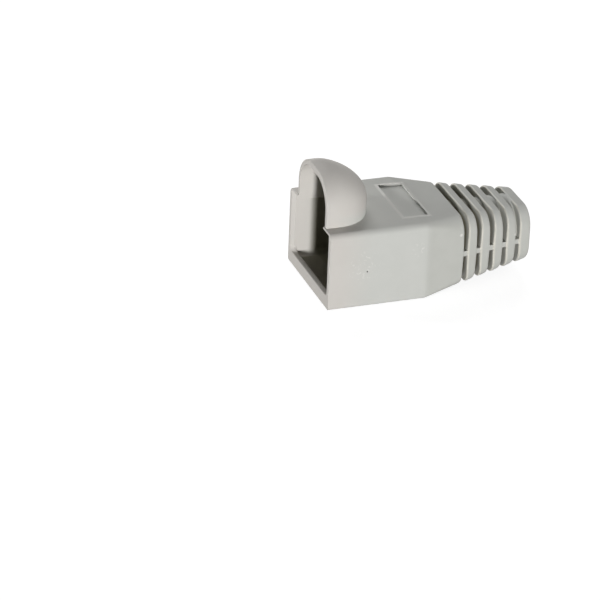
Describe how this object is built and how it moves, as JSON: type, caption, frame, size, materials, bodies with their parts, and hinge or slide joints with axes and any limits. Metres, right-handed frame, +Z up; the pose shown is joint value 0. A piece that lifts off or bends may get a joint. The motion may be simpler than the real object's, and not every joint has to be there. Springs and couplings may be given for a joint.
{
  "type": "rj45 strain relief boot",
  "caption": "Soft moulded boot for a modular plug: open plug socket, domed latch hood, label recess, and a tapered ringed tail with a cable bore.",
  "frame": {"origin": "middle of the boot's length and width, on the flat bottom that it rests on", "axes": "+X along the cable from the plug's mouth to the tail, +Z up to the latch hood, both sides of the XZ plane alike"},
  "size_m": [0.026, 0.014, 0.0152],
  "materials": {
    "soft_pvc": "light warm grey, satin moulded soft PVC"
  },
  "bodies": {
    "root": {"strain_relief_boot": "soft_pvc"}
  },
  "joints": []
}
